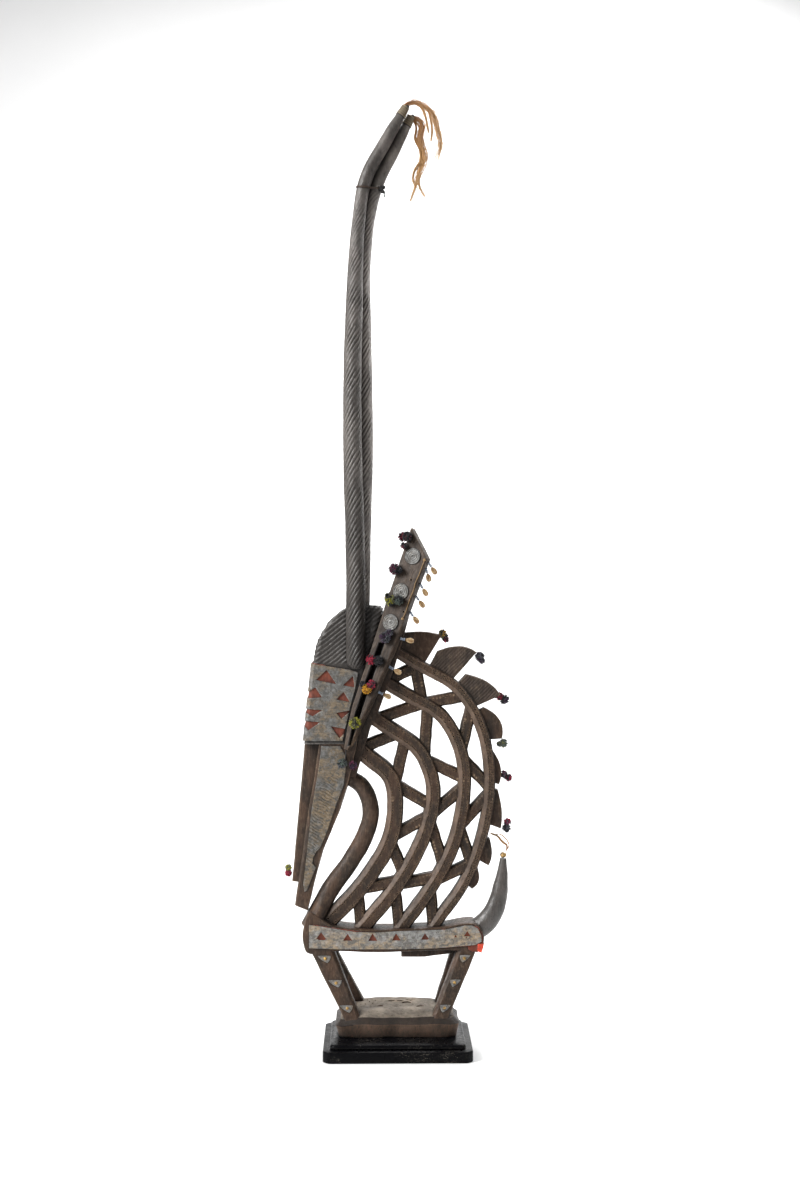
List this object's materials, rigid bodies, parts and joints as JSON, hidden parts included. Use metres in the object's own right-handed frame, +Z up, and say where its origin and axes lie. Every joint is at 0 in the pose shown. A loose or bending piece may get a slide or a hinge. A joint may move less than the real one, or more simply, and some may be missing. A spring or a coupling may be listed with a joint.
{
  "type": "chiwara headdress",
  "caption": "Tall carved wood antelope dance headdress with long upright horns and a pierced lattice mane, dressed with sheet metal, wool pompons and cowries, on a black plinth.",
  "frame": {"origin": "centre of the plinth's underside, the face it stands on", "axes": "+Z up along the horns, -X the way the antelope faces, -Y the side seen in the picture"},
  "size_m": [0.3421, 0.16, 1.4164],
  "materials": {
    "carved_wood": "oiled, worn",
    "black_paint": "satin black paint",
    "sheet_metal": "tarnished grey, patinated",
    "red_cloth": "woven, faded",
    "gold_cord": "twisted",
    "dark_cord": "waxed, matt",
    "wool": "tufted wool",
    "shell": "polished",
    "hair": "loose fibre"
  },
  "bodies": {
    "root": {"plinth": "black_paint", "antelope": "carved_wood", "head_band": "sheet_metal", "head_cloth": "red_cloth", "face_sheet_near": "sheet_metal", "body_strip_near": "sheet_metal", "body_cloth_near": "red_cloth", "ear_cord_near": "gold_cord", "ear_disc_near_1": "sheet_metal", "ear_disc_near_2": "sheet_metal", "ear_disc_near_3": "sheet_metal", "ear_pompon_near_1": "wool", "ear_pompon_near_2": "wool", "ear_pompon_near_3": "wool", "ear_pompon_near_4": "wool", "ear_pompon_near_5": "wool", "ear_pompon_near_6": "wool", "ear_pompon_near_7": "wool", "face_sheet_far": "sheet_metal", "body_strip_far": "sheet_metal", "body_cloth_far": "red_cloth", "ear_cord_far": "gold_cord", "ear_disc_far_1": "sheet_metal", "ear_disc_far_2": "sheet_metal", "ear_disc_far_3": "sheet_metal", "ear_pompon_far_1": "wool", "ear_pompon_far_2": "wool", "ear_pompon_far_3": "wool", "leg_plate_front_near_1": "sheet_metal", "leg_plate_front_near_2": "sheet_metal", "leg_plate_front_near_3": "sheet_metal", "leg_plate_hind_near_1": "sheet_metal", "leg_plate_hind_near_2": "sheet_metal", "leg_plate_hind_near_3": "sheet_metal", "leg_plate_front_far_1": "sheet_metal", "leg_plate_front_far_2": "sheet_metal", "leg_plate_front_far_3": "sheet_metal", "leg_plate_hind_far_1": "sheet_metal", "leg_plate_hind_far_2": "sheet_metal", "leg_plate_hind_far_3": "sheet_metal", "cowrie_1": "shell", "cowrie_2": "shell", "cowrie_3": "shell", "cowrie_4": "shell", "cowrie_5": "shell", "cowrie_6": "shell", "cowrie_7": "shell", "cowrie_8": "shell", "fin_pompon_1": "wool", "fin_pompon_2": "wool", "fin_pompon_3": "wool", "fin_pompon_4": "wool", "fin_pompon_5": "wool", "fin_pompon_6": "wool", "cheek_pompon": "wool", "muzzle_pompon": "wool", "horn_binding": "dark_cord", "horn_tuft_near": "hair", "horn_tuft_far": "hair", "tail_tuft": "hair"}
  },
  "joints": []
}
